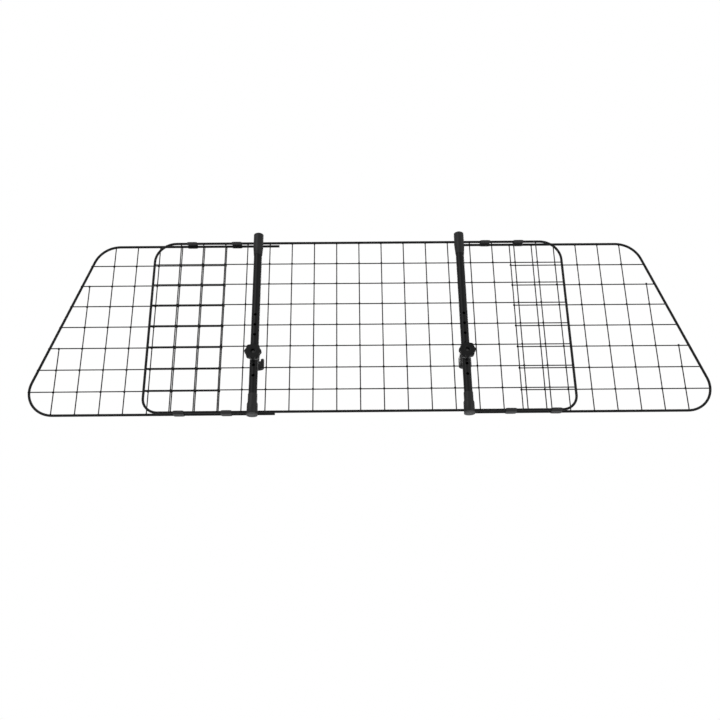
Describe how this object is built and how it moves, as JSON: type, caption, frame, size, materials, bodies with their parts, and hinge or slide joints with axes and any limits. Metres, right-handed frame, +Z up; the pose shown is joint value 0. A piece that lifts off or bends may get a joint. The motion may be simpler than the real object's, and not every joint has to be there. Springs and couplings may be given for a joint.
{
  "type": "cargo barrier",
  "caption": "Car cargo barrier for pets: a wire mesh panel with a sliding mesh wing at each side, on posts that clamp to headrest stems with hooks and star knobs.",
  "frame": {"origin": "midway between the two headrest stems, on the line between their axes, at mid height of the hooks", "axes": "+X across the car along the panel, +Y from the load space towards the seats, +Z up"},
  "size_m": [1.4507, 0.0899, 0.4325],
  "materials": {
    "panel_rod": "satin black powder coat",
    "mesh_wire": "satin black powder coat",
    "post_tube": "satin black powder coat",
    "post_plastic": "moulded, fine matt grain",
    "clip_plastic": "moulded, fine matt grain",
    "foot_plate": "moulded, matt",
    "knob_plastic": "moulded, matt",
    "hook_steel": "satin black powder coat",
    "hook_rubber": "smooth rubber",
    "bolt_steel": "blackened steel",
    "washer_steel": "black zinc plated",
    "screw_steel": "zinc plated",
    "insert_brass": "turned brass"
  },
  "bodies": {
    "centre_panel": {"centre_frame": "panel_rod", "centre_upright_wires": "mesh_wire", "centre_cross_wires": "mesh_wire", "left_top_inner_clip": "clip_plastic", "left_top_outer_clip": "clip_plastic", "left_bottom_inner_clip": "clip_plastic", "left_bottom_outer_clip": "clip_plastic", "right_top_inner_clip": "clip_plastic", "right_top_outer_clip": "clip_plastic", "right_bottom_inner_clip": "clip_plastic", "right_bottom_outer_clip": "clip_plastic"},
    "left_wing": {"left_wing_frame": "panel_rod", "left_wing_upright_wires": "mesh_wire", "left_wing_cross_wires": "mesh_wire"},
    "left_post": {"left_post_tube": "post_tube", "left_post_cap": "post_plastic", "left_post_foot": "post_plastic", "left_foot_plate": "foot_plate", "left_foot_screws": "screw_steel", "left_rear_saddle": "post_plastic", "left_front_saddle": "post_plastic", "left_clamp_washer": "washer_steel"},
    "left_hook": {"left_headrest_hook": "hook_steel", "left_hook_liner": "hook_rubber", "left_carriage_bolt": "bolt_steel"},
    "left_knob": {"left_star_knob": "knob_plastic", "left_knob_insert": "insert_brass"},
    "right_wing": {"right_wing_frame": "panel_rod", "right_wing_upright_wires": "mesh_wire", "right_wing_cross_wires": "mesh_wire"},
    "right_post": {"right_post_tube": "post_tube", "right_post_cap": "post_plastic", "right_post_foot": "post_plastic", "right_foot_plate": "foot_plate", "right_foot_screws": "screw_steel", "right_rear_saddle": "post_plastic", "right_front_saddle": "post_plastic", "right_clamp_washer": "washer_steel"},
    "right_hook": {"right_headrest_hook": "hook_steel", "right_hook_liner": "hook_rubber", "right_carriage_bolt": "bolt_steel"},
    "right_knob": {"right_star_knob": "knob_plastic", "right_knob_insert": "insert_brass"}
  },
  "joints": [
    {"name": "left_wing_slide", "type": "slide", "parent": "centre_panel", "child": "left_wing", "axis": [-1, 0, 0], "range_m": [-0.045, 0.065]},
    {"name": "right_wing_slide", "type": "slide", "parent": "centre_panel", "child": "right_wing", "axis": [1, 0, 0], "range_m": [-0.09, 0.04]},
    {"name": "left_post_slide", "type": "slide", "parent": "centre_panel", "child": "left_post", "axis": [1, 0, 0], "range_m": [-0.01, 0.01]},
    {"name": "left_hook_swivel", "type": "hinge", "parent": "left_post", "child": "left_hook", "pos_m": [-0.228, -0.05, 0], "axis": [0, 1, 0], "range_deg": [-15, 15]},
    {"name": "left_knob_turn", "type": "hinge", "parent": "left_hook", "child": "left_knob", "pos_m": [-0.228, -0.08, 0], "axis": [0, 1, 0], "continuous": true},
    {"name": "right_post_slide", "type": "slide", "parent": "centre_panel", "child": "right_post", "axis": [1, 0, 0], "range_m": [-0.01, 0.01]},
    {"name": "right_hook_swivel", "type": "hinge", "parent": "right_post", "child": "right_hook", "pos_m": [0.222, -0.05, 0], "axis": [0, 1, 0], "range_deg": [-15, 15]},
    {"name": "right_knob_turn", "type": "hinge", "parent": "right_hook", "child": "right_knob", "pos_m": [0.222, -0.08, 0], "axis": [0, 1, 0], "continuous": true}
  ]
}
